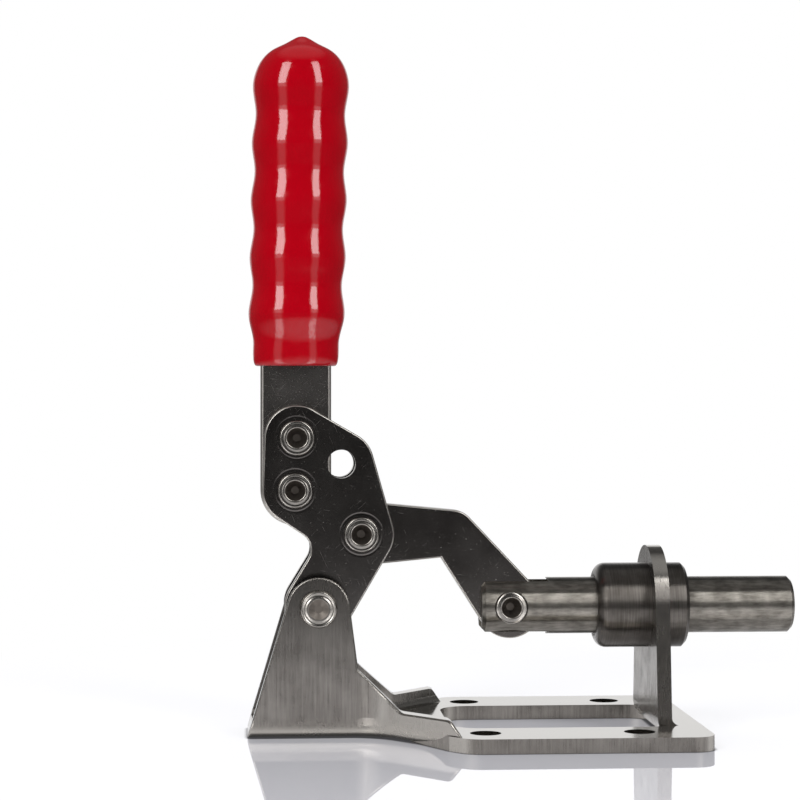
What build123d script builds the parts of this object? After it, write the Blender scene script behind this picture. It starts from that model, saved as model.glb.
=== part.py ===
from build123d import *
from math import atan2, cos, radians, sin, sqrt, tan
import os

# Straight-line push-pull toggle clamp in stainless steel, with a plastic grip.
# An upright handle turns a pair of lever plates on the base's ears, and a
# cranked link between them drives a round plunger through a guide barrel.
#
# Frame: millimetres, +X the way the plunger pushes, +Z up, the origin at the
# centre of the four base holes on the underside. The clamp is symmetric about
# the XZ plane. "Back" and "ahead" below are distances along X from the main
# pivot. The plunger's axis runs just below that pivot.

# --- sheet metal -----------------------------------------------------------
sheet = 4.0                  # plate of the base and of the lever plates
bend_inner = 2.0             # inside radius of the base's folds
edge_roll = 0.5              # rolled-over edge that punching leaves on a plate

# --- base ------------------------------------------------------------------
base_width = 84.0
rail_width = 20.0
base_hole_d = 8.5
hole_pitch_x = 42.0
hole_edge = 11.0             # centre of a hole from the base's outer edge
pivot_back = 65.6            # main pivot, behind the centre of the holes
pivot_height = 36.1          # main pivot above the underside
plunger_drop = 0.5           # plunger axis below the main pivot
ear_gap = 19.0               # between the inner faces of the ears
ear_radius = 8.7             # round top of an ear, about the main pivot
tail_back = 19.9             # rear edge of the base, back of the pivot
ear_foot = 11.0              # front foot of the ear, ahead of the pivot
ear_foot_height = 19.0       # where the ear's front edge turns into the flare
flange_start = 22.6          # start of the low flange, ahead of the pivot
flange_height = 8.2          # top of the low flange
flange_end = 34.8            # where the flange starts to fall to the rails
flange_foot = 37.6           # where it meets their top
flange_round = 2.0           # in the ear's front edge and along the flange
flare_start = 15.0           # where the walls turn outwards
flare_end = 39.5             # where they reach the rails
flare_round = 14.0           # outside radius where they turn outwards, in plan
settle_round = 8.0           # outside radius where they turn back along the rails
bend_fade = 12.2             # length over which the fold dies out towards the rails
window_start = 36.0          # rear edge of the opening between the rails
window_round = 8.5
base_toe = 12.4              # front edge of the base, ahead of the upright's rear face
base_corner = 6.0

# --- front upright and guide barrel ----------------------------------------
upright_face = 93.6          # rear face of the upright, ahead of the pivot
upright_width = 40.0         # at its foot
upright_head = 17.0          # round head, about the plunger axis
upright_relief = 2.0         # slit beside the fold
barrel_d = 24.0
barrel_rear = 78.7           # rear face of the barrel, ahead of the pivot
barrel_spigot_d = 20.0       # neck that passes through the upright
barrel_collar = 6.8          # collar in front of the upright
barrel_round = 3.2
swage_gap = 0.02             # round the barrel's neck in the upright
running_gap = 0.04           # radial clearance of everything that turns or slides

# --- linkage ---------------------------------------------------------------
arm_length = 23.6            # main pivot to link pivot
arm_angle = 59.1             # of that arm above the X axis, at rest
link_length = 47.05
link_thickness = 7.0
link_end_radius = 9.0
link_elbow_along = 23.4      # elbow of the cranked link, along its length
link_elbow_rise = 11.5       # and off the straight line between its holes
link_elbow_radius = 6.5
link_side_gap = 0.5          # between the link and each lever plate

# --- handle ----------------------------------------------------------------
bar_width = 19.9
bar_back = 6.13              # centre line of the bar, back of the pivot
bar_top = 182.0              # height of the bar's end, inside the grip
bar_round = 1.0
upper_rivet_back = 5.9
upper_rivet_rise = 47.3      # above the main pivot
lower_rivet_back = 6.4
lower_rivet_rise = 32.6
side_hole_d = 8.0            # free hole through both lever plates
side_hole_ahead = 6.5
side_hole_rise = 40.0
upper_margin = 9.1           # metal round each centre of a lever plate
lower_margin = 9.1
side_margin = 9.2
link_margin = 9.2
pivot_margin = 9.4
neck_round = 5.0

# --- grip ------------------------------------------------------------------
grip_bottom = 103.6
grip_top = 196.75
grip_lean = 1.1              # degrees that the grip leans forwards
collar_width = 23.9
collar_depth = 16.0
collar_height = 7.5          # plain collar below the first bulge
collar_round = 1.3           # rolled lower edge
bulge_width = 27.2
bulge_depth = 21.0
bulge_first = 118.0          # height of the lowest bulge
bulge_pitch = 16.2
bulge_count = 5
valley_depth = 0.95          # how far a valley lies inside the bulges
dome_drops = (10.2, 8.2, 6.1, 4.1, 2.1, 0.5, 0.05)          # below the top, down the dome
dome_widths = (0.95, 0.89, 0.79, 0.63, 0.35, 0.14, 0.05)    # of a bulge, at those drops

# --- plunger ---------------------------------------------------------------
plunger_d = 16.0
plunger_tail = 8.1           # rear end, back of its pivot
plunger_slot_front = 10.6    # end of the slot at the rod's surface, ahead of its pivot
plunger_cutter = 12.0        # radius of the disc cutter that leaves the slot's round end
plunger_slot_gap = 0.175     # between the link and each cheek
plunger_reach = 80.9         # front end, ahead of its pivot
plunger_chamfer = 1.0
thread_bore_d = 8.5          # tapping bore of an M10 thread
thread_depth = 25.0

# --- rivets and washers ----------------------------------------------------
rivet_d = 6.0
rivet_seat = 0.02            # radial gap round a shank in the piece it is fixed to
rivet_head_height = 1.6
rivet_head_round = 0.75
rivet_cup_round = 0.45
pivot_head_d = 10.4
handle_head_d = 9.8
plunger_head_d = 9.0
spot_face_gap = 0.2          # round a head that sits in the plunger
spot_face_depth = 1.1        # below the top of the plunger's cheeks
cup_d = 5.6                  # hollow in a rivet's end
cup_floor_d = 2.2
cup_depth = 4.5
pivot_cup_depth = 1.0
washer_d = 15.0
washer_play = 0.1            # between a washer and the lever plate

# --- motion of the linkage -------------------------------------------------
handle_back = 8.0            # degrees that the handle swings back from rest
handle_forward = 61.6        # degrees that it swings forward, just past centre
link_ratio = 1.42            # link turn per handle turn
slide_rate = 16.2            # plunger travel per radian of handle turn
open_pin_gap = 0.3           # round the plunger's rivet in the link's slot
slot_steps = 8

# --- places worked out from the sizes above, as (X, Z) ---------------------
bend_outer = bend_inner + sheet
base_front = upright_face + base_toe
axis_height = pivot_height - plunger_drop
hole_pitch_y = base_width - 2 * hole_edge
ear_face = ear_gap / 2 + sheet
bar_thickness = link_thickness + 2 * link_side_gap
plate_face = bar_thickness / 2 + sheet
arm = radians(arm_angle)
main_pivot = (-pivot_back, pivot_height)
link_pivot = (main_pivot[0] + arm_length * cos(arm), main_pivot[1] + arm_length * sin(arm))
link_run = sqrt(link_length**2 - (link_pivot[1] - axis_height) ** 2)
plunger_pivot = (link_pivot[0] + link_run, axis_height)
link_slope = atan2(link_pivot[1] - plunger_pivot[1], link_run)
upper_rivet = (main_pivot[0] - upper_rivet_back, main_pivot[1] + upper_rivet_rise)
lower_rivet = (main_pivot[0] - lower_rivet_back, main_pivot[1] + lower_rivet_rise)
side_hole = (main_pivot[0] + side_hole_ahead, main_pivot[1] + side_hole_rise)
bar_x = main_pivot[0] - bar_back


def ahead(distance):
    """X of a point that lies this far ahead of the main pivot."""
    return main_pivot[0] + distance


def disc(centre, radius):
    """Circle in a side outline, about a point given as (X, Z)."""
    return Pos(centre[0], centre[1]) * Circle(radius)


def pad_hull(*discs):
    """Tight outline round several circles."""
    return make_hull([edge for item in discs for edge in item.edges()])


def side_plate(outline, y_mid, thickness):
    """Flat plate from a side outline, centred on Y = y_mid."""
    return Pos(0, y_mid, 0) * extrude(Plane.XZ * outline, thickness / 2, both=True)


def cross_pin(centre, radius, half_length):
    """Cylinder along Y through a point given as (X, Z)."""
    return side_plate(disc(centre, radius), 0, 2 * half_length)


def axial_rod(x_from, x_to, radius):
    """Cylinder along the plunger's axis."""
    shift = Pos((x_from + x_to) / 2, 0, axis_height)
    return shift * Rot(0, 90, 0) * Cylinder(radius, x_to - x_from)


def plate_rims(plate, y_face):
    """Edges of a side plate that lie in the plane Y = y_face."""
    return plate.edges().filter_by_position(Axis.Y, y_face - 0.01, y_face + 0.01)


def ear_outline():
    """Side view of an ear and of the low flange in front of it."""
    foot = (ahead(ear_foot), ear_foot_height)
    slope = make_hull([
        *disc(main_pivot, ear_radius).edges(),
        *Line((ahead(-tail_back), 0), (ahead(ear_foot), 0)).edges(),
        *Line((ahead(ear_foot), 0), foot).edges(),
    ])
    front = make_face(Polyline(
        (ahead(0), 0),
        (ahead(0), ear_foot_height),
        foot,
        (ahead(flange_start), flange_height),
        (ahead(flange_end), flange_height),
        (ahead(flange_foot), sheet),
        (ahead(flange_foot), 0),
        close=True,
    ))
    outline = slope + front
    corners = outline.vertices().filter_by_position(Axis.X, ahead(ear_foot) - 0.5, ahead(flange_end) + 0.5)
    corners = corners.filter_by_position(Axis.Y, flange_height - 0.5, ear_foot_height + 0.5)
    return fillet(corners, flange_round)


def wall_plan(inset):
    """Plan of the channel, its flared walls and the rails, drawn in by a wall thickness."""
    flare = atan2(base_width / 2 - ear_face, flare_end - flare_start)
    shift = inset * tan(flare / 2)
    channel = ear_face - inset
    rail = base_width / 2 - inset
    half = make_face(Polyline(
        (ahead(-tail_back), 0),
        (ahead(-tail_back), channel),
        (ahead(flare_start + shift), channel),
        (ahead(flare_end + shift), rail),
        (ahead(base_front), rail),
        (ahead(base_front), 0),
        close=True,
    ))
    out_turn = half.vertices().sort_by_distance((ahead(flare_start + shift), channel, 0))[0]
    half = fillet(out_turn, flare_round + inset)
    back_turn = half.vertices().sort_by_distance((ahead(flare_end + shift), rail, 0))[0]
    half = fillet(back_turn, settle_round - inset)
    return half + mirror(half, Plane.XZ)


def outer_rims(body):
    """Edges that the side outline cuts round the outside of the walls, back from the rails."""
    rims = ShapeList()
    for face in body.faces():
        centre = face.center()
        runs_across = abs(face.normal_at(centre).Y) < 0.001
        if runs_across and centre.Z > 0.01 and centre.X < ahead(flange_foot) - 0.01:
            for edge in face.edges():
                box = edge.bounding_box()
                if max(box.size.X, box.size.Z) > 0.02 or box.max.Z < 0.01:
                    rims.append(edge)
    return rims


def side_walls():
    """Folded channel whose walls flare outwards to the rails."""
    tall = pivot_height + 2 * ear_radius
    outer = extrude(wall_plan(0), tall)
    low_edges = outer.edges().filter_by_position(Axis.Z, -0.01, 0.01)
    outer = fillet(side_edges(low_edges), bend_outer)
    walls = outer & side_plate(ear_outline(), 0, 2 * base_width)
    walls = fillet(outer_rims(walls), edge_roll)
    inner = Pos(0, 0, sheet) * extrude(wall_plan(sheet), tall)
    low_edges = inner.edges().filter_by_position(Axis.Z, sheet - 0.01, sheet + 0.01)
    inner = fillet(side_edges(low_edges), bend_inner)
    return walls - inner


def side_edges(edges):
    """Leaves out the edges that cross the clamp at either end of the channel."""
    kept = [edge for edge in edges if edge.bounding_box().size.X > 0.1]
    return ShapeList(kept)


def rails():
    """Flat plate ahead of the flare, with rounded front corners."""
    edge = base_width / 2
    fade_start = flange_foot - bend_fade
    fade_edge = ear_face + (fade_start - flare_start) * (edge - ear_face) / (flare_end - flare_start)
    half = make_face(Polyline(
        (ahead(fade_start), 0),
        (ahead(fade_start), fade_edge - bend_outer),
        (ahead(flange_foot), edge),
        (ahead(base_front), edge),
        (ahead(base_front), 0),
        close=True,
    ))
    plan = (half + mirror(half, Plane.XZ)) & wall_plan(0)
    plate = extrude(plan, sheet)
    front = plate.edges().filter_by(Axis.Z).group_by(Axis.X)[-1]
    return fillet(front, base_corner)


def upright():
    """Tongue from the opening between the rails, folded up to hold the barrel."""
    top = axis_height + upright_head
    face = upright_face
    section = make_face(Polyline(
        (ahead(base_front - base_corner), 0),
        (ahead(face), 0),
        (ahead(face), top),
        (ahead(face + sheet), top),
        (ahead(face + sheet), sheet),
        (ahead(base_front - base_corner), sheet),
        close=True,
    ))
    heel = section.vertices().sort_by_distance((ahead(face), 0, 0))[0]
    section = fillet(heel, bend_outer)
    throat = section.vertices().sort_by_distance((ahead(face + sheet), sheet, 0))[0]
    section = fillet(throat, bend_inner)
    tongue = side_plate(section, 0, upright_width)
    foot = Pos(0, bend_outer / 2) * Rectangle(upright_width, bend_outer)
    outline = make_hull([*foot.edges(), *(Pos(0, axis_height) * Circle(upright_head)).edges()])
    window = Pos(ahead(face), 0, 0) * extrude(Plane.YZ * outline, base_front)
    tongue = tongue & window
    return tongue - axial_rod(ahead(face - sheet), ahead(face + 2 * sheet), barrel_spigot_d / 2 + swage_gap)


def build_base_plate():
    """One folded plate: ears, flared walls, rails and the front upright."""
    opening_end = upright_face + sheet + upright_relief
    opening_length = opening_end - window_start
    opening = RectangleRounded(opening_length, base_width - 2 * rail_width, window_round)
    opening = Pos(ahead(window_start + opening_length / 2), 0, 0) * opening
    plate = side_walls() + rails()
    plate -= extrude(opening, 2 * flange_height, both=True)
    plate += upright()
    for side in (-1, 1):
        for end in (-1, 1):
            hole = Pos(end * hole_pitch_x / 2, side * hole_pitch_y / 2, 0)
            plate -= hole * Cylinder(base_hole_d / 2, 3 * sheet)
    plate -= cross_pin(main_pivot, rivet_d / 2 + rivet_seat, base_width)
    return plate


def build_barrel():
    """Turned guide bush, with its neck through the upright and a collar in front."""
    neck_end = upright_face + sheet
    bush = axial_rod(ahead(barrel_rear), ahead(upright_face), barrel_d / 2)
    rear_edge = bush.edges().filter_by(GeomType.CIRCLE).sort_by(Axis.X)[0]
    bush = fillet(rear_edge, barrel_round)
    bush += axial_rod(ahead(upright_face), ahead(neck_end), barrel_spigot_d / 2)
    collar = axial_rod(ahead(neck_end), ahead(neck_end + barrel_collar), barrel_d / 2)
    front_edge = collar.edges().filter_by(GeomType.CIRCLE).sort_by(Axis.X)[-1]
    bush += chamfer(front_edge, plunger_chamfer)
    front = ahead(neck_end + barrel_collar)
    return bush - axial_rod(ahead(barrel_rear - 1), front + 1, plunger_d / 2 + running_gap)


def build_lever_plate(side):
    """Cranked side plate that joins the main pivot, the link pivot and the bar."""
    upper = pad_hull(
        disc(upper_rivet, upper_margin),
        disc(lower_rivet, lower_margin),
        disc(side_hole, side_margin),
        disc(link_pivot, link_margin),
    )
    lower = pad_hull(disc(main_pivot, pivot_margin), disc(link_pivot, link_margin))
    outline = upper + lower
    throat = ((main_pivot[0] + lower_rivet[0]) / 2, (main_pivot[1] + lower_rivet[1]) / 2)
    inner_corner = outline.vertices().sort_by_distance((throat[0], throat[1], 0))[0]
    outline = fillet(inner_corner, neck_round)
    plate = side_plate(outline, side * (plate_face - sheet / 2), sheet)
    plate = fillet(plate_rims(plate, side * plate_face), edge_roll)
    plate -= cross_pin(main_pivot, rivet_d / 2 + running_gap, plate_face + 1)
    plate -= cross_pin(side_hole, side_hole_d / 2, plate_face + 1)
    for centre in (link_pivot, upper_rivet, lower_rivet):
        plate -= cross_pin(centre, rivet_d / 2 + rivet_seat, plate_face + 1)
    return plate


def build_handle_bar():
    """Flat bar between the lever plates, round at its lower end."""
    centre = (bar_x, lower_rivet[1])
    length = bar_top - centre[1]
    blank = Pos(bar_x, centre[1] + length / 2) * Rectangle(bar_width, length)
    outline = blank + disc(centre, bar_width / 2)
    bar = side_plate(outline, 0, bar_thickness)
    long_edges = bar.edges().filter_by(Axis.Z)
    bar = fillet(long_edges, bar_round)
    for hole in (upper_rivet, lower_rivet):
        bar -= cross_pin(hole, rivet_d / 2 + rivet_seat, bar_thickness)
    return bar


def link_point(along, off):
    """Point of the link at rest, from its length and its rise off the centre line."""
    return (
        link_pivot[0] + along * cos(link_slope) + off * sin(link_slope),
        link_pivot[1] - along * sin(link_slope) + off * cos(link_slope),
    )


def open_pin_place(turn):
    """Where the plunger's rivet stands in the link, along and off its line."""
    lever = arm - turn
    slope = -link_slope - turn + link_ratio * turn
    rivet_x = plunger_pivot[0] - main_pivot[0] + slide_rate * turn
    reach_x = rivet_x - arm_length * cos(lever)
    reach_z = -arm_length * sin(lever) - plunger_drop
    along = reach_x * cos(slope) + reach_z * sin(slope)
    off = reach_z * cos(slope) - reach_x * sin(slope)
    return along, off


def open_pin_slot():
    """Side outline of the clearance that the plunger's rivet needs in the link."""
    first = radians(-handle_back)
    span = radians(handle_back + handle_forward)
    places = [open_pin_place(first + span * step / slot_steps) for step in range(slot_steps + 1)]
    return pad_hull(*[disc(link_point(*place), rivet_d / 2 + open_pin_gap) for place in places])


def build_link():
    """Cranked link between the lever plates and the plunger."""
    elbow = disc(link_point(link_elbow_along, link_elbow_rise), link_elbow_radius)
    rear = pad_hull(disc(link_pivot, link_end_radius), elbow)
    front = pad_hull(elbow, disc(plunger_pivot, link_end_radius))
    link = side_plate(rear + front, 0, link_thickness)
    rims = plate_rims(link, link_thickness / 2) + plate_rims(link, -link_thickness / 2)
    link = fillet(rims, edge_roll)
    link -= cross_pin(link_pivot, rivet_d / 2 + running_gap, link_thickness)
    return link - side_plate(open_pin_slot(), 0, 2 * link_thickness)


def build_plunger():
    """Round plunger, slotted at the rear for the link and tapped in front."""
    centre = plunger_pivot[0]
    radius = plunger_d / 2
    tip = centre + plunger_reach
    rod = axial_rod(centre - plunger_tail, tip, radius)
    ends = rod.edges().filter_by(GeomType.CIRCLE)
    rod = chamfer(ends, plunger_chamfer)
    cutter_x = centre + plunger_slot_front - sqrt(plunger_cutter**2 - radius**2)
    slot_width = link_thickness + 2 * plunger_slot_gap
    cut = disc((cutter_x, axis_height), plunger_cutter)
    cut += Pos(cutter_x - plunger_cutter, axis_height) * Rectangle(2 * plunger_cutter, 2 * plunger_cutter)
    rod -= side_plate(cut, 0, slot_width)
    rod -= axial_rod(tip - thread_depth, tip + 1, thread_bore_d / 2)
    mouth = rod.edges().filter_by(GeomType.CIRCLE).group_by(Axis.X)[-1].sort_by(SortBy.RADIUS)[0]
    rod = chamfer(mouth, plunger_chamfer)
    for side in (-1, 1):
        seat = side_plate(disc(plunger_pivot, plunger_head_d / 2 + spot_face_gap), 0, plunger_d)
        rod -= Pos(0, side * (2 * radius - spot_face_depth), 0) * seat
    return rod - cross_pin(plunger_pivot, rivet_d / 2 + rivet_seat, plunger_d)


def build_rivet(centre, half_grip, head_d, hollow):
    """Rivet along Y with a rounded ring head and a hollow in each end."""
    top = half_grip + rivet_head_height
    section = make_face(Polyline(
        (0, 0),
        (rivet_d / 2, 0),
        (rivet_d / 2, half_grip),
        (head_d / 2, half_grip),
        (head_d / 2, top),
        (cup_d / 2, top),
        (cup_floor_d / 2, top - hollow),
        (0, top - hollow),
        close=True,
    ))
    shoulder = section.vertices().sort_by_distance((head_d / 2, top, 0))[0]
    section = fillet(shoulder, rivet_head_round)
    lip = section.vertices().sort_by_distance((cup_d / 2, top, 0))[0]
    section = fillet(lip, rivet_cup_round)
    half = revolve(Plane.XY * section, Axis.Y)
    rivet = half + mirror(half, Plane.XZ)
    return Pos(centre[0], 0, centre[1]) * rivet


def build_pivot_washer(side):
    """Spacing washer between an ear and a lever plate."""
    thickness = ear_gap / 2 - plate_face - washer_play
    middle = side * (ear_gap / 2 - thickness / 2)
    washer = side_plate(disc(main_pivot, washer_d / 2), middle, thickness)
    return washer - cross_pin(main_pivot, rivet_d / 2 + rivet_seat, ear_gap)


def grip_section(height, width, depth):
    """Oval cross-section of the grip, centred on the bar at its lean."""
    lean = (height - grip_bottom) * tan(radians(grip_lean))
    return Pos(bar_x + lean, 0, height) * Ellipse(width / 2, depth / 2)


def build_grip():
    """Moulded grip with finger waves, a plain collar and a domed top."""
    sections = [
        grip_section(grip_bottom, collar_width - 2 * collar_round, collar_depth - 2 * collar_round),
        grip_section(grip_bottom + 0.3 * collar_round, collar_width - 0.6 * collar_round, collar_depth - 0.6 * collar_round),
        grip_section(grip_bottom + 1.2 * collar_round, collar_width, collar_depth),
        grip_section(grip_bottom + collar_height, collar_width + 0.5, collar_depth + 1.5),
    ]
    for bulge in range(bulge_count):
        height = bulge_first + bulge * bulge_pitch
        sections.append(grip_section(height, bulge_width, bulge_depth))
        if bulge < bulge_count - 1:
            narrow = 2 * valley_depth
            middle = height + bulge_pitch / 2
            sections.append(grip_section(middle, bulge_width - narrow, bulge_depth - narrow))
    for drop, share in zip(dome_drops, dome_widths):
        sections.append(grip_section(grip_top - drop, bulge_width * share, bulge_depth * share))
    grip = loft(sections)
    centre = (bar_top + grip_bottom) / 2
    core = Pos(bar_x, 0, centre - 5) * Box(bar_width, bar_thickness, bar_top - grip_bottom + 10)
    core = fillet(core.edges().filter_by(Axis.Z), bar_round)
    return grip - core


def save(name, piece):
    """Writes one piece under its own name."""
    piece.label = name
    export_step(piece, f"parts/{name}.step")


os.makedirs("parts", exist_ok=True)

save("base_plate", build_base_plate())
save("guide_barrel", build_barrel())
save("plunger", build_plunger())
save("link", build_link())
save("handle_bar", build_handle_bar())
save("grip", build_grip())
for side_name, side_sign in (("near", -1), ("far", 1)):
    save(f"lever_plate_{side_name}", build_lever_plate(side_sign))
    save(f"pivot_washer_{side_name}", build_pivot_washer(side_sign))

save("main_pivot_rivet", build_rivet(main_pivot, ear_face, pivot_head_d, pivot_cup_depth))
save("link_rivet", build_rivet(link_pivot, plate_face, handle_head_d, cup_depth))
save("handle_rivet_upper", build_rivet(upper_rivet, plate_face, handle_head_d, cup_depth))
save("handle_rivet_lower", build_rivet(lower_rivet, plate_face, handle_head_d, cup_depth))
plunger_grip = plunger_d / 2 - spot_face_depth
save("plunger_rivet", build_rivet(plunger_pivot, plunger_grip, plunger_head_d, cup_depth))
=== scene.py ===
from math import cos, pi, radians, sin

import bmesh
import bpy
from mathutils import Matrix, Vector


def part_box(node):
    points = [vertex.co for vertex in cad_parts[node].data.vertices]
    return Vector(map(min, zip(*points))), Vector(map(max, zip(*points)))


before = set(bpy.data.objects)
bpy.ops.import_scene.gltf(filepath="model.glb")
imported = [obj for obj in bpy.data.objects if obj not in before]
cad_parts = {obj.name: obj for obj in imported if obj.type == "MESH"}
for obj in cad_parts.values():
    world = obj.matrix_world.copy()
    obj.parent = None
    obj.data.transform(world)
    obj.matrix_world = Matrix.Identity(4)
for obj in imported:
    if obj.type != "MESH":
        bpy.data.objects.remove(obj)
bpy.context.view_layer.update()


# --- Base plate ---------------------------------------------------------------
# One piece of 4 mm stainless sheet, punched, then folded into ears, flared walls,
# rails and a front upright. The faces keep the satin of the rolled sheet, drawn
# out in fine vertical streaks where the ears were pulled up over the die.

MM = 0.001


def linear(code):
    """Linear RGBA from an sRGB hex colour."""
    levels = [int(code[start:start + 2], 16) / 255 for start in (0, 2, 4)]
    return [v / 12.92 if v <= 0.04045 else ((v + 0.055) / 1.055) ** 2.4 for v in levels] + [1.0]


def node(tree, kind, inputs=None, **settings):
    """Adds one node, with its settings, its values and its links from (node, output) pairs.

    A Mix node takes its two numbers at inputs 2 and 3, or its two colours at 6 and 7,
    and gives the mixed colour at output 2.
    """
    made = tree.nodes.new(kind)
    for name, value in settings.items():
        setattr(made, name, value)
    for socket, value in (inputs or {}).items():
        if isinstance(value, tuple) and isinstance(value[0], bpy.types.Node):
            tree.links.new(value[0].outputs[value[1]], made.inputs[socket])
        else:
            made.inputs[socket].default_value = value
    return made


def blank_material(name):
    """A new material with its node tree empty."""
    material = bpy.data.materials.new(name)
    material.use_nodes = True
    material.node_tree.nodes.clear()
    return material, material.node_tree


def finish_with(name, material):
    """Gives a carried-over piece its material."""
    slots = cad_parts[name].data.materials
    slots.clear()
    slots.append(material)


def rims_and_levels(tree, place):
    """Masks for the rounded rims of a folded sheet, and for its level faces."""
    sides = node(tree, "ShaderNodeVectorMath", {0: (place, "Normal")}, operation="ABSOLUTE")
    facing = node(tree, "ShaderNodeSeparateXYZ", {0: (sides, 0)})
    upright = node(tree, "ShaderNodeMath", {0: (facing, "X"), 1: (facing, "Y")}, operation="MAXIMUM")
    square = node(tree, "ShaderNodeMath", {0: (upright, 0), 1: (facing, "Z")}, operation="MAXIMUM")
    rim = node(tree, "ShaderNodeMapRange", {"Value": (square, 0), "From Min": 0.93, "From Max": 0.78})
    level = node(tree, "ShaderNodeMapRange", {"Value": (facing, "Z"), "From Min": 0.9, "From Max": 0.99})
    return rim, level


def grain_steel(name, dark, light, roughness, grain_mm, patch_mm, depth_mm, spread_along_x=0.0,
                flat_roughness=None):
    """Stainless steel with a directional grain of the given size along X, Y and Z.

    Worked steel is smooth along its grain and finely ridged across it, so it spreads
    a highlight across the grain and stays crisp along it. Real ridges are under 0.1 mm
    apart and are drawn coarser, so that they show. With flat_roughness, level faces
    keep the mill's smoother skin and are painted lighter as a reflection, and the
    rolled rims are painted bright as a highlight.
    """
    patch_change = 0.05
    ridged, rubbed = 0.35, 0.03
    material, tree = blank_material(name)
    place = node(tree, "ShaderNodeTexCoord")
    stretch = node(tree, "ShaderNodeMapping", {
        "Vector": (place, "Object"), "Scale": [1 / (size * MM) for size in grain_mm],
    })
    grain = node(tree, "ShaderNodeTexNoise", {
        "Vector": (stretch, 0), "Scale": 1.0, "Detail": 4.0, "Roughness": 0.6,
    })
    patch = node(tree, "ShaderNodeTexNoise", {
        "Vector": (place, "Object"), "Scale": 1 / (patch_mm * MM), "Detail": 3.0,
    })
    weight = node(tree, "ShaderNodeMath", {0: (grain, 0), 1: (patch, 0)}, operation="ADD")
    spread = node(tree, "ShaderNodeMapRange", {
        "Value": (weight, 0), "From Min": 0.75, "From Max": 1.25,
    })
    tint = node(tree, "ShaderNodeMix", {
        "Factor": (spread, 0), 6: linear(dark), 7: linear(light),
    }, data_type="RGBA")
    rough = node(tree, "ShaderNodeMapRange", {
        "Value": (weight, 0), "From Min": 0.75, "From Max": 1.25,
        "To Min": roughness + patch_change, "To Max": roughness - patch_change,
    })
    bump = node(tree, "ShaderNodeBump", {
        "Height": (grain, 0), "Strength": ridged, "Distance": depth_mm * MM,
    })
    if flat_roughness is not None:
        rim, level = rims_and_levels(tree, place)
        # Painted highlight and painted reflection: rims and level faces get lighter colours.
        rims_painted_bright = node(tree, "ShaderNodeMix", {
            "Factor": (rim, 0), 6: (tint, 2), 7: linear("aeaaa4"),
        }, data_type="RGBA")
        tint = node(tree, "ShaderNodeMix", {
            "Factor": (level, 0), 6: (rims_painted_bright, 2), 7: linear("b0aca6"),
        }, data_type="RGBA")
        rough = node(tree, "ShaderNodeMix", {"Factor": (level, 0), 2: (rough, 0), 3: flat_roughness})
        smooth = node(tree, "ShaderNodeMath", {0: (level, 0), 1: (rim, 0)}, operation="MAXIMUM")
        strength = node(tree, "ShaderNodeMapRange", {
            "Value": (smooth, 0), "To Min": ridged, "To Max": rubbed,
        })
        tree.links.new(strength.outputs[0], bump.inputs["Strength"])
    shader = node(tree, "ShaderNodeBsdfPrincipled", {
        "Base Color": (tint, 2), "Metallic": 1.0, "Roughness": (rough, 0), "Normal": (bump, 0),
        "Anisotropic": spread_along_x,
    })
    if spread_along_x:
        along_x = node(tree, "ShaderNodeCombineXYZ", {"X": 1.0})
        tree.links.new(along_x.outputs[0], shader.inputs["Tangent"])
    node(tree, "ShaderNodeOutputMaterial", {"Surface": (shader, 0)})
    return material


# flat_roughness also gives its rims a painted highlight and its level tops a painted reflection.
drawn_sheet = grain_steel(
    "satin_drawn_stainless_sheet", "6a6662", "898580", roughness=0.25, grain_mm=(0.6, 0.6, 14),
    patch_mm=9, depth_mm=0.012, spread_along_x=0.9, flat_roughness=0.13)
finish_with("base_plate", drawn_sheet)


# --- Guide barrel -------------------------------------------------------------
# A turned stainless bush, its neck swaged through the upright. Turning leaves fine
# rings round its axis, so the grain is short along X and spreads highlights that way.

turned_bush = grain_steel(
    "turned_stainless_bush", "4a4642", "66625e", roughness=0.33, grain_mm=(0.25, 9, 9),
    patch_mm=7, depth_mm=0.004, spread_along_x=0.9)
finish_with("guide_barrel", turned_bush)


# --- Plunger ------------------------------------------------------------------
# Ground stainless rod, slotted for the link and tapped M10 in front. Grinding runs
# round it and draws each reflection out along the rod, and sliding in the barrel
# has mottled it lengthwise.

ground_rod = grain_steel(
    "ground_stainless_rod", "69655f", "8d8982", roughness=0.37, grain_mm=(3.5, 0.7, 0.7),
    patch_mm=4, depth_mm=0.004, spread_along_x=1.0)
finish_with("plunger", ground_rod)


# --- Link and lever plates ----------------------------------------------------
# Punched from cold-rolled stainless sheet and tumbled. The faces are dark and
# smooth with fine specks and hair scratches; the rolled rims are bright, a painted
# highlight. The rivets' press has left a faint ring round each of them.

def middle_of(name):
    """The middle of a CAD node's box at rest."""
    low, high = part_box(name)
    return [(low[axis] + high[axis]) / 2 for axis in range(3)]


def distance_from_axis(tree, place, centre):
    """Distance from the line along Y through the given centre, at output Value."""
    across = node(tree, "ShaderNodeMapping", {
        "Vector": (place, "Object"), "Location": (-centre[0], 0, -centre[2]), "Scale": (1, 0, 1),
    })
    return node(tree, "ShaderNodeVectorMath", {0: (across, 0)}, operation="LENGTH")


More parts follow.
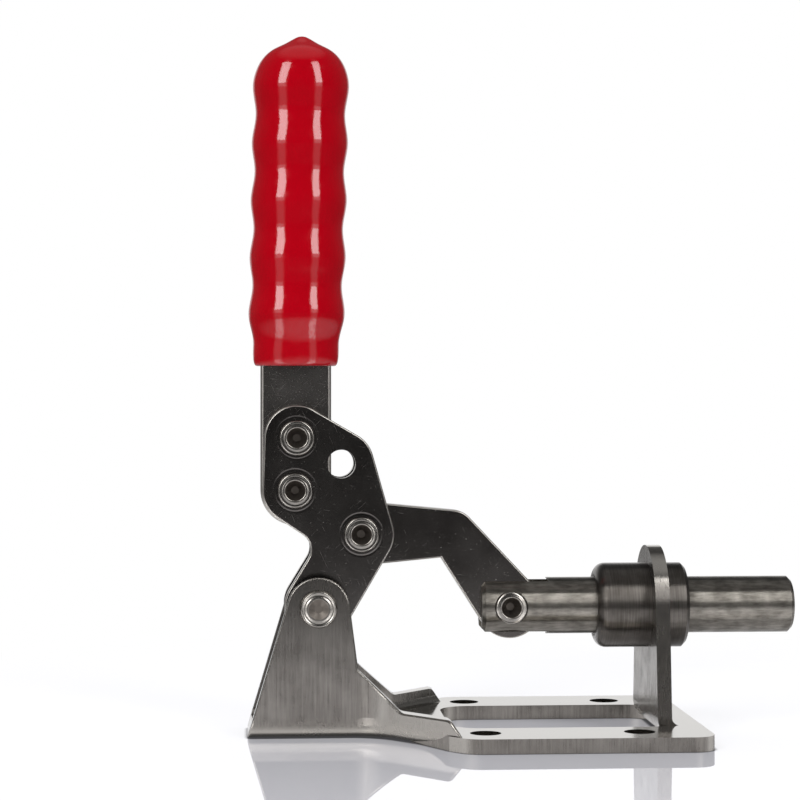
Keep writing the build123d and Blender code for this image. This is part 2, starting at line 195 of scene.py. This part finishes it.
def tumbled_steel(name, dark, light, roughness, pressed=()):
    """Smooth dark sheet with specks, hair scratches and the rings pressed round rivets.

    Real specks and scratches are some hundredths of a millimetre wide, and are drawn
    coarser so that they show.
    """
    speck_mm, speck_depth_mm = 0.5, 0.02
    scratch_mm, scratch_turns = (0.12, 0.12, 6), (25, -48, 80)
    patch_mm, patch_change = 11, 0.10
    scratch_roughness, rim_roughness = 0.18, 0.15
    ring_radius_mm, ring_width_mm, ring_depth_mm = 5.9, 0.5, 0.05
    material, tree = blank_material(name)
    place = node(tree, "ShaderNodeTexCoord")
    patch = node(tree, "ShaderNodeTexNoise", {
        "Vector": (place, "Object"), "Scale": 1 / (patch_mm * MM), "Detail": 5.0,
    })
    tint = node(tree, "ShaderNodeMix", {
        "Factor": (patch, 0), 6: linear(dark), 7: linear(light),
    }, data_type="RGBA")
    speck = node(tree, "ShaderNodeTexNoise", {
        "Vector": (place, "Object"), "Scale": 1 / (speck_mm * MM), "Detail": 2.0,
    })
    marks = node(tree, "ShaderNodeMapRange", {
        "Value": (speck, 0), "From Min": 0.64, "From Max": 0.78, "To Max": 0.8,
    })
    for turn in scratch_turns:
        lay = node(tree, "ShaderNodeMapping", {
            "Vector": (place, "Object"), "Rotation": (0, radians(turn), 0),
        })
        stretch = node(tree, "ShaderNodeMapping", {
            "Vector": (lay, 0), "Scale": [1 / (size * MM) for size in scratch_mm],
        })
        hair = node(tree, "ShaderNodeTexNoise", {"Vector": (stretch, 0), "Scale": 1.0, "Detail": 1.0})
        scratch = node(tree, "ShaderNodeMapRange", {
            "Value": (hair, 0), "From Min": 0.73, "From Max": 0.80, "To Max": 0.6,
        })
        marks = node(tree, "ShaderNodeMath", {0: (marks, 0), 1: (scratch, 0)}, operation="MAXIMUM")
    scratched = node(tree, "ShaderNodeMix", {
        "Factor": (marks, 0), 6: (tint, 2), 7: linear("b5b1ac"),
    }, data_type="RGBA")
    # Painted highlight: the rims, faces turned away from Y, get a lighter colour.
    facing = node(tree, "ShaderNodeSeparateXYZ", {0: (place, "Normal")})
    sideways = node(tree, "ShaderNodeMath", {0: (facing, "Y")}, operation="ABSOLUTE")
    rim = node(tree, "ShaderNodeMapRange", {"Value": (sideways, 0), "From Min": 0.97, "From Max": 0.85})
    rims_painted_bright = node(tree, "ShaderNodeMix", {
        "Factor": (rim, 0), 6: (scratched, 2), 7: linear("b8b4ae"),
    }, data_type="RGBA")
    rubbed = node(tree, "ShaderNodeMath", {
        0: (patch, 0), 1: patch_change, 2: roughness - patch_change / 2,
    }, operation="MULTIPLY_ADD")
    marked = node(tree, "ShaderNodeMath", {
        0: (marks, 0), 1: scratch_roughness, 2: (rubbed, 0),
    }, operation="MULTIPLY_ADD")
    rough = node(tree, "ShaderNodeMix", {
        "Factor": (rim, 0), 2: (marked, 0), 3: roughness + rim_roughness,
    })
    bump = node(tree, "ShaderNodeBump", {
        "Height": (speck, 0), "Strength": 0.15, "Distance": speck_depth_mm * MM,
    })
    for centre in pressed:
        radius = distance_from_axis(tree, place, centre)
        offset = node(tree, "ShaderNodeMath", {
            0: (radius, "Value"), 1: ring_radius_mm * MM,
        }, operation="SUBTRACT")
        away = node(tree, "ShaderNodeMath", {0: (offset, 0)}, operation="ABSOLUTE")
        dent = node(tree, "ShaderNodeMapRange", {
            "Value": (away, 0), "From Max": ring_width_mm * MM, "To Min": -1.0, "To Max": 0.0,
        }, interpolation_type="SMOOTHSTEP")
        bump = node(tree, "ShaderNodeBump", {
            "Height": (dent, 0), "Strength": 1.0, "Distance": ring_depth_mm * MM, "Normal": (bump, 0),
        })
    shader = node(tree, "ShaderNodeBsdfPrincipled", {
        "Base Color": (rims_painted_bright, 2), "Metallic": 1.0, "Roughness": (rough, 0), "Normal": (bump, 0),
    })
    node(tree, "ShaderNodeOutputMaterial", {"Surface": (shader, 0)})
    return material


plate_rivets = ("link_rivet", "handle_rivet_upper", "handle_rivet_lower")
dark_sheet = tumbled_steel(
    "tumbled_stainless_sheet", "625e5b", "7c7875", roughness=0.19,
    pressed=[middle_of(name) for name in plate_rivets])
for name in ("lever_plate_near", "lever_plate_far"):
    finish_with(name, dark_sheet)
finish_with("link", tumbled_steel("tumbled_stainless_link", "5e5a57", "787471", roughness=0.19))


# --- Handle bar ---------------------------------------------------------------
# Flat drawn stainless bar, its long edges broken. It is rougher than the plates
# and tumbled with them, so it carries the same specks and scratches.

# Its edges get the same painted highlight as the plates' rims.
finish_with("handle_bar", tumbled_steel("drawn_stainless_bar", "87837f", "999591", roughness=0.24))


# --- Rivets and washers -------------------------------------------------------
# Cold-headed stainless rivets, spun over at each end, which leaves the head
# burnished and slightly dished between two raised rings; the hollow stays dull,
# and its darker colour is painted shade.
# The washers between ears and plates are stamped and left as they are.

def spun_rivet(piece, dish_mm):
    """Burnished steel, dished between two rings round the rivet's axis, dull in the hollow and painted
    darker there as shade.
    """
    outer_ring_mm, inner_ring_mm = 4.75, 3.15
    hollow_mm, hollow_edge_mm = 2.95, 0.15
    patch_mm = 1.2
    material, tree = blank_material("spun_stainless_" + piece)
    place = node(tree, "ShaderNodeTexCoord")
    radius = distance_from_axis(tree, place, middle_of(piece))
    head = node(tree, "ShaderNodeMath", {
        0: (radius, "Value"), 1: inner_ring_mm * MM,
    }, operation="MAXIMUM")
    turn = node(tree, "ShaderNodeMapRange", {
        "Value": (head, 0), "From Min": inner_ring_mm * MM, "From Max": outer_ring_mm * MM, "To Max": 2 * pi,
    }, clamp=False)
    wave = node(tree, "ShaderNodeMath", {0: (turn, 0)}, operation="COSINE")
    dished = node(tree, "ShaderNodeBump", {
        "Height": (wave, 0), "Strength": 1.0, "Distance": dish_mm / 2 * MM,
    })
    hollow = node(tree, "ShaderNodeMapRange", {
        "Value": (radius, "Value"), "From Min": (hollow_mm - hollow_edge_mm) * MM,
        "From Max": hollow_mm * MM, "To Min": 1.0, "To Max": 0.0,
    })
    patch = node(tree, "ShaderNodeTexNoise", {
        "Vector": (place, "Object"), "Scale": 1 / (patch_mm * MM), "Detail": 4.0,
    })
    bright = node(tree, "ShaderNodeMix", {
        "Factor": (patch, 0), 6: linear("827e79"), 7: linear("aaa6a0"),
    }, data_type="RGBA")
    # Painted shade: the hollow also gets a darker colour.
    tint = node(tree, "ShaderNodeMix", {
        "Factor": (hollow, 0), 6: (bright, 2), 7: linear("6e6862"),
    }, data_type="RGBA")
    rough = node(tree, "ShaderNodeMapRange", {"Value": (hollow, 0), "To Min": 0.22, "To Max": 0.5})
    shader = node(tree, "ShaderNodeBsdfPrincipled", {
        "Base Color": (tint, 2), "Metallic": 1.0, "Roughness": (rough, 0), "Normal": (dished, 0),
    })
    node(tree, "ShaderNodeOutputMaterial", {"Surface": (shader, 0)})
    return material


finish_with("main_pivot_rivet", spun_rivet("main_pivot_rivet", dish_mm=0.20))
for name in (*plate_rivets, "plunger_rivet"):
    finish_with(name, spun_rivet(name, dish_mm=0.13))

washer = grain_steel(
    "stamped_stainless_washer", "827e79", "aaa6a0", roughness=0.24, grain_mm=(2, 2, 2),
    patch_mm=3, depth_mm=0.01)
for name in ("pivot_washer_near", "pivot_washer_far"):
    finish_with(name, washer)


# --- Grip ---------------------------------------------------------------------
# Soft PVC, dip-moulded over the bar: deep red and glossy, with a faint flow in
# its skin that bends the reflections.

def dipped_vinyl():
    """Glossy red PVC with a slightly uneven skin and a few rubbed spots."""
    flow_mm, flow_depth_mm = 7, 0.12
    rub_mm = 3
    material, tree = blank_material("dip_moulded_red_vinyl")
    place = node(tree, "ShaderNodeTexCoord")
    flow = node(tree, "ShaderNodeTexNoise", {
        "Vector": (place, "Object"), "Scale": 1 / (flow_mm * MM), "Detail": 1.0,
    })
    tint = node(tree, "ShaderNodeMix", {
        "Factor": (flow, 0), 6: linear("b20012"), 7: linear("bc0016"),
    }, data_type="RGBA")
    rub = node(tree, "ShaderNodeTexNoise", {
        "Vector": (place, "Object"), "Scale": 1 / (rub_mm * MM), "Detail": 4.0,
    })
    rough = node(tree, "ShaderNodeMapRange", {
        "Value": (rub, 0), "From Min": 0.5, "From Max": 0.75, "To Min": 0.07, "To Max": 0.16,
    })
    bump = node(tree, "ShaderNodeBump", {
        "Height": (flow, 0), "Strength": 0.25, "Distance": flow_depth_mm * MM,
    })
    shader = node(tree, "ShaderNodeBsdfPrincipled", {
        "Base Color": (tint, 2), "Roughness": (rough, 0), "IOR": 1.5, "Normal": (bump, 0),
    })
    node(tree, "ShaderNodeOutputMaterial", {"Surface": (shader, 0)})
    return material


finish_with("grip", dipped_vinyl())


# --- Floor --------------------------------------------------------------------
# A sheet of pale polished acrylic on a lit table. Near the clamp it shows a faint
# mirror image and a shadow; farther off it is plain white. What the steel reflects
# of it is the table's own light, which falls away from the foot into a dark room.

half_side = 4.0
floor_mesh = bmesh.new()
bmesh.ops.create_grid(floor_mesh, x_segments=1, y_segments=1, size=half_side)
floor_data = bpy.data.meshes.new("floor")
floor_mesh.to_mesh(floor_data)
floor_mesh.free()
floor = bpy.data.objects.new("floor", floor_data)
bpy.context.scene.collection.objects.link(floor)
below_foot = 0.05 * MM
floor.location = (0, 0, -below_foot)


def seen_directly(tree, path):
    """1 for what is seen straight, or through something clear."""
    return node(tree, "ShaderNodeMath", {
        0: (path, "Is Camera Ray"), 1: (path, "Is Transmission Ray"),
    }, operation="MAXIMUM")


def polished_acrylic():
    """Acrylic sheet near the clamp, white beyond it, and a lit table in reflections."""
    acrylic_ends_mm, white_starts_mm = 160, 260
    lit_mm, dark_mm = 100, 500
    lit_strength, dark_strength = 0.24, 0.05
    contact_mm = 1.3
    material, tree = blank_material("pale_polished_acrylic")
    path = node(tree, "ShaderNodeLightPath")
    place = node(tree, "ShaderNodeTexCoord")
    distance = node(tree, "ShaderNodeVectorMath", {0: (place, "Object")}, operation="LENGTH")
    direct = seen_directly(tree, path)

    # The acrylic: matte under a clear mirror skin, stronger at a slant, a little lifted.
    matte = node(tree, "ShaderNodeBsdfDiffuse", {"Color": linear("e6e6ec")})
    mirror = node(tree, "ShaderNodeBsdfGlossy", {"Color": linear("ffffff"), "Roughness": 0.0})
    slant = node(tree, "ShaderNodeFresnel", {"IOR": 1.5})
    share = node(tree, "ShaderNodeMapRange", {
        "Value": (slant, 0), "From Min": 0.04, "From Max": 0.45, "To Min": 0.05, "To Max": 0.65,
    })
    polished = node(tree, "ShaderNodeMixShader", {0: (share, 0), 1: (matte, 0), 2: (mirror, 0)})
    seen = node(tree, "ShaderNodeMath", {0: (direct, 0), 1: (path, "Is Glossy Ray")}, operation="MAXIMUM")
    lift = node(tree, "ShaderNodeEmission", {"Color": linear("f6f6ff"), "Strength": 0.17})
    glow = node(tree, "ShaderNodeMixShader", {0: (seen, 0), 2: (lift, 0)})
    near = node(tree, "ShaderNodeAddShader", {0: (polished, 0), 1: (glow, 0)})

    # The rest: white where it is seen directly, otherwise the table with its own light.
    table = node(tree, "ShaderNodeMapRange", {
        "Value": (distance, "Value"), "From Min": lit_mm * MM, "From Max": dark_mm * MM,
        "To Min": lit_strength, "To Max": dark_strength,
    }, interpolation_type="SMOOTHSTEP")
    level = node(tree, "ShaderNodeMix", {"Factor": (direct, 0), 2: (table, 0), 3: 1.0})
    light = node(tree, "ShaderNodeEmission", {"Color": linear("ffffff"), "Strength": (level, 0)})
    # Painted shade: the table's colour darkens to black away from the clamp.
    nearness = node(tree, "ShaderNodeMapRange", {
        "Value": (table, 0), "From Min": dark_strength, "From Max": lit_strength,
    })
    shade = node(tree, "ShaderNodeMix", {
        "Factor": (nearness, 0), 6: linear("000000"), 7: linear("e8e8ec"),
    }, data_type="RGBA")
    table_top = node(tree, "ShaderNodeBsdfDiffuse", {"Color": (shade, 2)})
    glint = node(tree, "ShaderNodeBsdfGlossy", {"Color": linear("a0a0a0"), "Roughness": 0.08})
    varnished = node(tree, "ShaderNodeAddShader", {0: (table_top, 0), 1: (glint, 0)})
    reflected = node(tree, "ShaderNodeMixShader", {0: (direct, 0), 1: (varnished, 0)})
    plain = node(tree, "ShaderNodeAddShader", {0: (light, 0), 1: (reflected, 0)})

    # Farther off the one passes into the other.
    far = node(tree, "ShaderNodeMapRange", {
        "Value": (distance, "Value"), "From Min": acrylic_ends_mm * MM, "From Max": white_starts_mm * MM,
    }, interpolation_type="SMOOTHSTEP")
    even = node(tree, "ShaderNodeMath", {0: (far, 0), 1: (path, "Is Glossy Ray")}, operation="MAXIMUM")
    sheet = node(tree, "ShaderNodeMixShader", {0: (even, 0), 1: (near, 0), 2: (plain, 0)})

    # No light gets into the crease under the foot's edge, so the line of contact is dark.
    corner = node(tree, "ShaderNodeAmbientOcclusion", {"Distance": contact_mm * MM})
    crease = node(tree, "ShaderNodeMapRange", {
        "Value": (corner, "AO"), "From Min": 0.5, "From Max": 0.95, "To Min": 0.25, "To Max": 1.0,
    })
    touched = node(tree, "ShaderNodeMixShader", {0: (crease, 0), 2: (sheet, 0)})
    node(tree, "ShaderNodeOutputMaterial", {"Surface": (touched, 0)})
    return material


floor_data.materials.append(polished_acrylic())


# --- Light --------------------------------------------------------------------
# A dim studio with white paper behind the clamp. Two tall strip lamps in front
# draw the upright highlights on the grip, and light the room round them a little.

# Angles in degrees, lengths in metres and power in watts.
strip_climb = 29
strip_reach = 1.0
strip_height = 0.75
strips = (
    {"name": "strip_left", "turn": -36, "width": 0.30, "power": 4.8, "spill": 12},
    {"name": "strip_right", "turn": 34, "width": 0.24, "power": 3.6, "spill": 10},
)

world = bpy.data.worlds.new("studio")
bpy.context.scene.world = world
world.use_nodes = True
tree = world.node_tree
tree.nodes.clear()
path = node(tree, "ShaderNodeLightPath")
way = node(tree, "ShaderNodeTexCoord")
parts = node(tree, "ShaderNodeSeparateXYZ", {0: (way, "Generated")})

# What metal and gloss reflect: dark room, paler ceiling, and paper low at the back.
behind = node(tree, "ShaderNodeMapRange", {
    "Value": (parts, "Y"), "From Min": 0.70, "From Max": 0.88,
}, interpolation_type="SMOOTHSTEP")
low = node(tree, "ShaderNodeMapRange", {
    "Value": (parts, "Z"), "From Min": 0.30, "From Max": 0.50, "To Min": 1.0, "To Max": 0.0,
}, interpolation_type="SMOOTHSTEP")
paper = node(tree, "ShaderNodeMath", {0: (behind, 0), 1: (low, 0)}, operation="MULTIPLY")
room = node(tree, "ShaderNodeMapRange", {
    "Value": (parts, "Y"), "From Min": -0.6, "From Max": 0.3, "To Min": 0.03, "To Max": 0.12,
})
ceiling = node(tree, "ShaderNodeMapRange", {
    "Value": (parts, "Z"), "From Min": 0.75, "From Max": 0.95, "To Max": 0.45,
}, interpolation_type="SMOOTHSTEP")
around = node(tree, "ShaderNodeMath", {0: (room, 0), 1: (ceiling, 0)}, operation="MAXIMUM")
level = node(tree, "ShaderNodeMix", {"Factor": (paper, 0), 2: (around, 0), 3: 1.0})

# The strips' spill: a soft upright band round each lamp, fading towards the ceiling.
front = node(tree, "ShaderNodeMath", {0: (parts, "Y"), 1: -1.0}, operation="MULTIPLY")
turn = node(tree, "ShaderNodeMath", {0: (parts, "X"), 1: (front, 0)}, operation="ARCTAN2")
height = node(tree, "ShaderNodeMapRange", {
    "Value": (parts, "Z"), "From Min": 0.55, "From Max": 0.85, "To Min": 2.2, "To Max": 0.0,
}, interpolation_type="SMOOTHSTEP")
full_share = 0.4
for strip in strips:
    offset = node(tree, "ShaderNodeMath", {0: (turn, 0), 1: radians(strip["turn"])}, operation="SUBTRACT")
    off_middle = node(tree, "ShaderNodeMath", {0: (offset, 0)}, operation="ABSOLUTE")
    spill = node(tree, "ShaderNodeMapRange", {
        "Value": (off_middle, 0), "From Min": radians(strip["spill"] * full_share),
        "From Max": radians(strip["spill"]), "To Min": 1.0, "To Max": 0.0,
    }, interpolation_type="SMOOTHSTEP")
    level = node(tree, "ShaderNodeMath", {
        0: (spill, 0), 1: (height, 0), 2: (level, 0),
    }, operation="MULTIPLY_ADD")
studio = node(tree, "ShaderNodeBackground", {"Color": linear("ffffff"), "Strength": (level, 0)})

# Matte surfaces get soft light from behind, and the eye and the mirror see white.
spread = node(tree, "ShaderNodeMapRange", {
    "Value": (parts, "Y"), "From Min": -0.1, "From Max": 0.6, "To Min": 0.2, "To Max": 0.85,
})
fill = node(tree, "ShaderNodeBackground", {"Color": linear("ffffff"), "Strength": (spread, 0)})
backdrop = node(tree, "ShaderNodeBackground", {"Color": linear("ffffff"), "Strength": 1.0})
shiny = node(tree, "ShaderNodeMixShader", {0: (path, "Is Glossy Ray"), 1: (fill, 0), 2: (studio, 0)})
mirrored = node(tree, "ShaderNodeMath", {
    0: (seen_directly(tree, path), 0), 1: (path, "Is Singular Ray"),
}, operation="MAXIMUM")
seen = node(tree, "ShaderNodeMixShader", {0: (mirrored, 0), 1: (shiny, 0), 2: (backdrop, 0)})
node(tree, "ShaderNodeOutputWorld", {"Surface": (seen, 0)})


def soft_box(name, turn, width, power):
    """Strip lamp facing the clamp, turned round it in degrees from straight in front."""
    middle = Vector((-70, 0, 120)) * MM
    turn, climb = radians(turn), radians(strip_climb)
    way = Vector((sin(turn) * cos(climb), -cos(turn) * cos(climb), sin(climb)))
    lamp = bpy.data.lights.new(name, "AREA")
    lamp.shape = "RECTANGLE"
    lamp.size = width
    lamp.size_y = strip_height
    lamp.energy = power
    holder = bpy.data.objects.new(name, lamp)
    bpy.context.scene.collection.objects.link(holder)
    holder.location = middle + way * strip_reach
    holder.rotation_euler = (-way).to_track_quat("-Z", "Y").to_euler()


for strip in strips:
    soft_box(strip["name"], strip["turn"], strip["width"], strip["power"])


# --- Camera -------------------------------------------------------------------
# A long lens at the height of the clamp's middle, looking across it almost along
# +Y and turned a little towards its front.

eye_behind_pivot = 17.31 * MM
eye_distance = 622.5 * MM
eye_height = 94.0 * MM
eye_turn = radians(3.745)
lens_pixels = 2200
picture_pixels = 800
camera_data = bpy.data.cameras.new("camera")
camera_data.sensor_width = 36
camera_data.lens = lens_pixels / picture_pixels * camera_data.sensor_width
camera_data.clip_start = 0.01
camera = bpy.data.objects.new("camera", camera_data)
bpy.context.scene.collection.objects.link(camera)
pivot_x = middle_of("main_pivot_rivet")[0]
camera.location = (pivot_x - eye_behind_pivot, -eye_distance, eye_height)
looking = Vector((sin(eye_turn), cos(eye_turn), 0))
camera.rotation_euler = looking.to_track_quat("-Z", "Y").to_euler()
bpy.context.scene.camera = camera
bpy.context.scene.view_settings.view_transform = "Standard"
